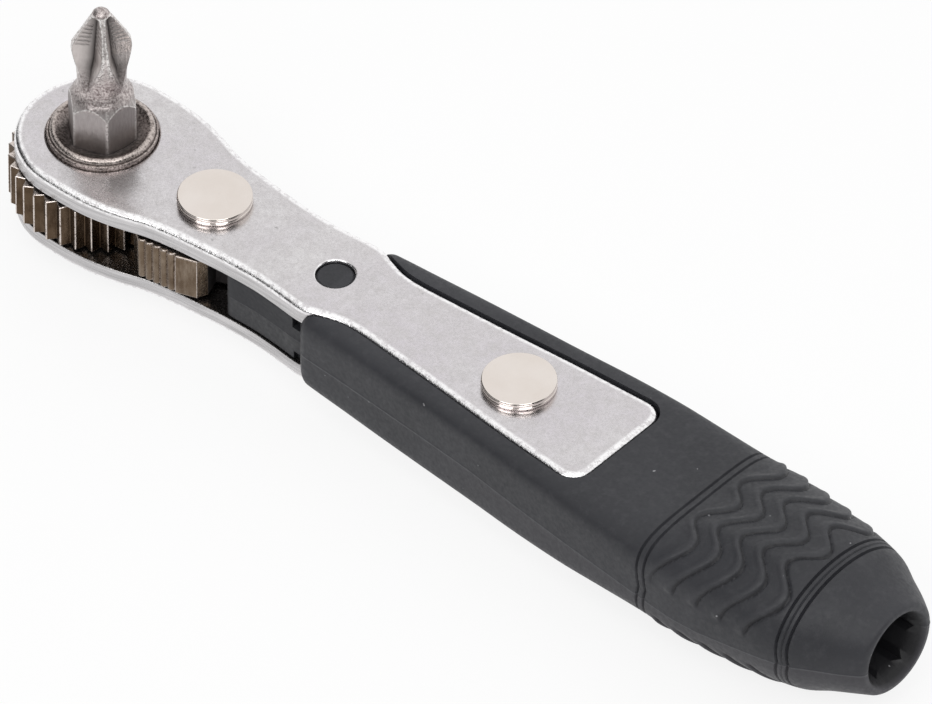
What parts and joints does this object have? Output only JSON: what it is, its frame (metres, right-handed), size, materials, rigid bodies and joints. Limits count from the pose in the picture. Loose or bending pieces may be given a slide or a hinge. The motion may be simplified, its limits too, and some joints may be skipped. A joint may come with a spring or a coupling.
{
  "type": "ratcheting screwdriver",
  "caption": "Flat ratcheting screwdriver: a toothed hub between riveted steel plates turns a cross-head bit, with a reversing rocker and a moulded handle.",
  "frame": {"origin": "on the drive axis, in the middle plane between the two plates", "axes": "+X from the drive axis along the handle, +Z along the drive axis towards the bit's tip, +Y to the left seen from the handle's end"},
  "size_m": [0.1138, 0.02, 0.0293],
  "materials": {
    "handle_plastic": "fine satin moulding texture, charcoal",
    "plate_steel": "satin tumbled, with bright rolled edges and tiny pits",
    "gear_steel": "warm satin, bright tooth edges",
    "pawl_steel": "warm satin",
    "bit_steel": "satin hexagon, sand-blasted neck and tip",
    "rivet_steel": "bright nickel",
    "spring_steel": "drawn wire",
    "ball_steel": "polished"
  },
  "bodies": {
    "handle": {"handle": "handle_plastic", "top_plate": "plate_steel", "bottom_plate": "plate_steel", "pawl_rivet": "rivet_steel", "handle_rivet": "rivet_steel", "detent_spring": "spring_steel"},
    "gear": {"ratchet_gear": "gear_steel", "bit_retaining_ring": "spring_steel"},
    "bit": {"screwdriver_bit": "bit_steel"},
    "pawl": {"reversing_pawl": "pawl_steel"},
    "detent": {"detent_ball": "ball_steel"}
  },
  "joints": [
    {"name": "gear_spin", "type": "hinge", "parent": "handle", "child": "gear", "pos_m": [0, 0, 0], "axis": [0, 0, 1], "continuous": true},
    {"name": "bit_slide", "type": "slide", "parent": "gear", "child": "bit", "axis": [0, 0, 1], "range_m": [0, 0.01]},
    {"name": "pawl_rock", "type": "hinge", "parent": "handle", "child": "pawl", "pos_m": [0.015, 0, 0], "axis": [0, 0, 1], "range_deg": [-15, 0]},
    {"name": "detent_slide", "type": "slide", "parent": "handle", "child": "detent", "axis": [-1, 0, 0], "range_m": [0, 0.00023], "stiffness_N_per_m": 300, "springref_m": 0.0003}
  ]
}
